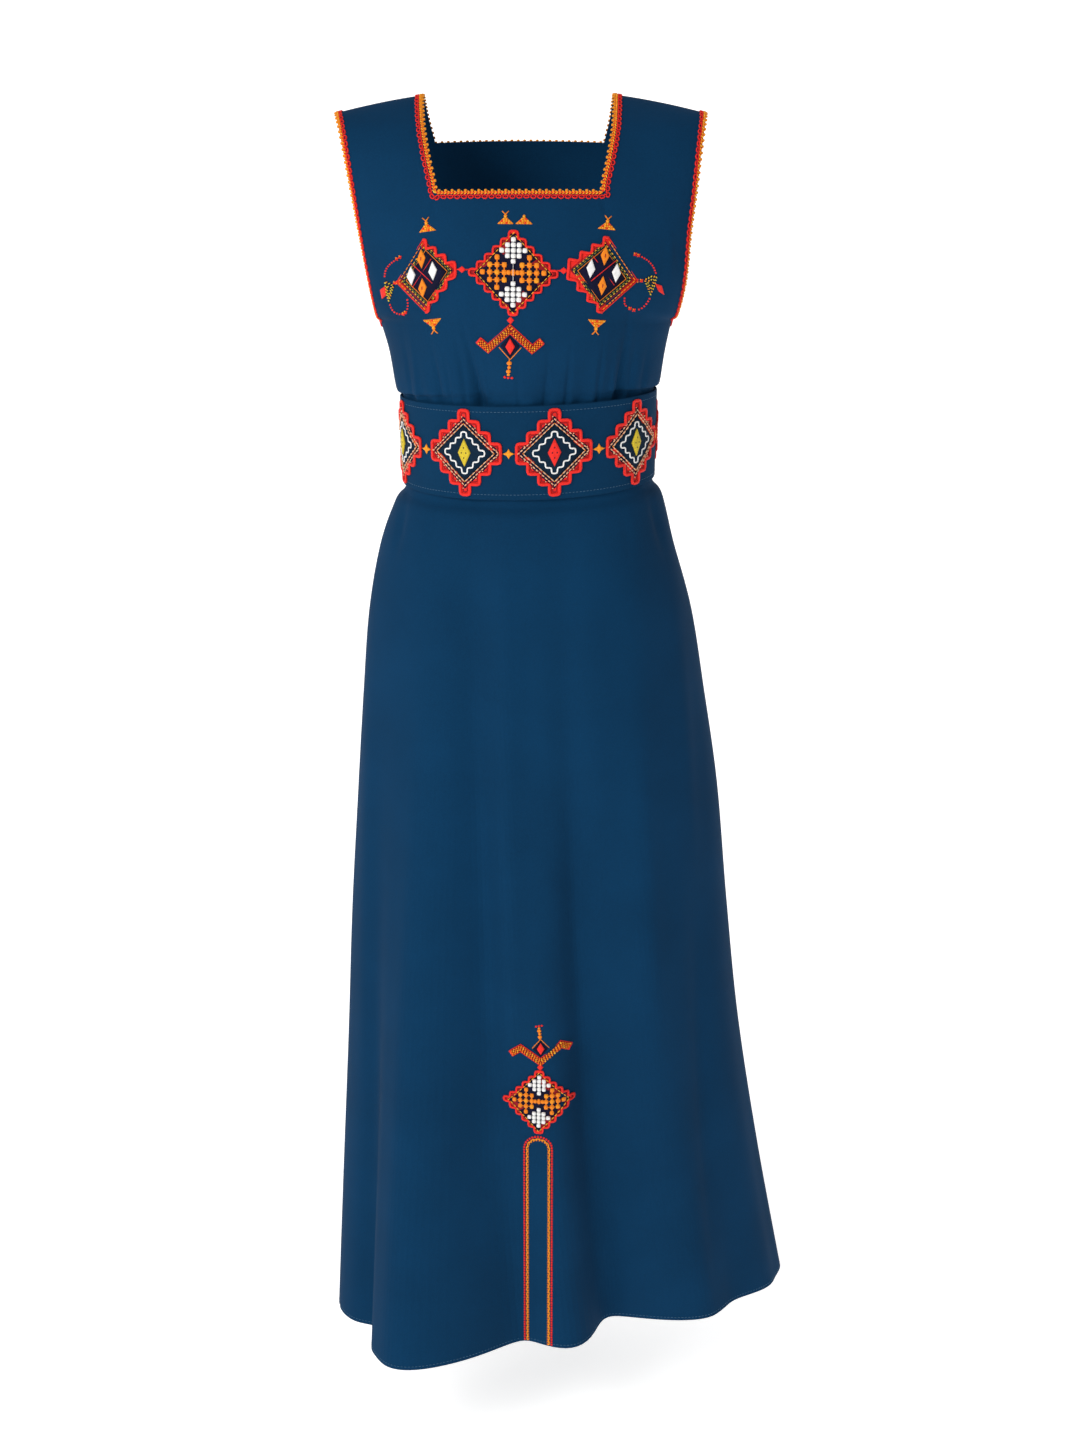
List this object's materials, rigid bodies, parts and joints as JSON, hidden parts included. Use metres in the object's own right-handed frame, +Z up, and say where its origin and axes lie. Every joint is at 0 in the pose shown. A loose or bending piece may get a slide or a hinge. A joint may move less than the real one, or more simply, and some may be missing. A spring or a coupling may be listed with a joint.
{
  "type": "kabyle dress",
  "caption": "Long sleeveless kabyle dress, square neck, wide belt over a flared skirt, with braided edges and stepped diamond motifs, in its hollow worn form.",
  "frame": {"origin": "midway between the two shoulder seams, at the height where they rest on the wearer", "axes": "+Z up towards the neck, -Y towards the front, +X towards the right seen from the front"},
  "size_m": [0.5192, 0.388, 1.3612],
  "materials": {
    "blue_cloth": "plain matte woven cloth",
    "belt_cloth": "the same cloth, doubled and stiffened",
    "braid_yarn": "crocheted cotton yarn",
    "motif_thread": "thick cotton thread"
  },
  "bodies": {
    "root": {"armhole_braid_left": "braid_yarn", "armhole_braid_right": "braid_yarn", "belt": "belt_cloth", "belt_diamond_1": "motif_thread", "belt_diamond_2": "motif_thread", "belt_diamond_3": "motif_thread", "belt_diamond_4": "motif_thread", "belt_diamond_5": "motif_thread", "belt_diamond_6": "motif_thread", "belt_diamond_7": "motif_thread", "belt_diamond_8": "motif_thread", "bodice_back": "blue_cloth", "bodice_front": "blue_cloth", "chest_chevron": "motif_thread", "chest_diamond": "motif_thread", "chest_diamond_left": "motif_thread", "chest_diamond_right": "motif_thread", "neck_braid": "braid_yarn", "skirt_back": "blue_cloth", "skirt_chevron": "motif_thread", "skirt_diamond": "motif_thread", "skirt_front": "blue_cloth", "slit_braid": "braid_yarn"}
  },
  "joints": []
}
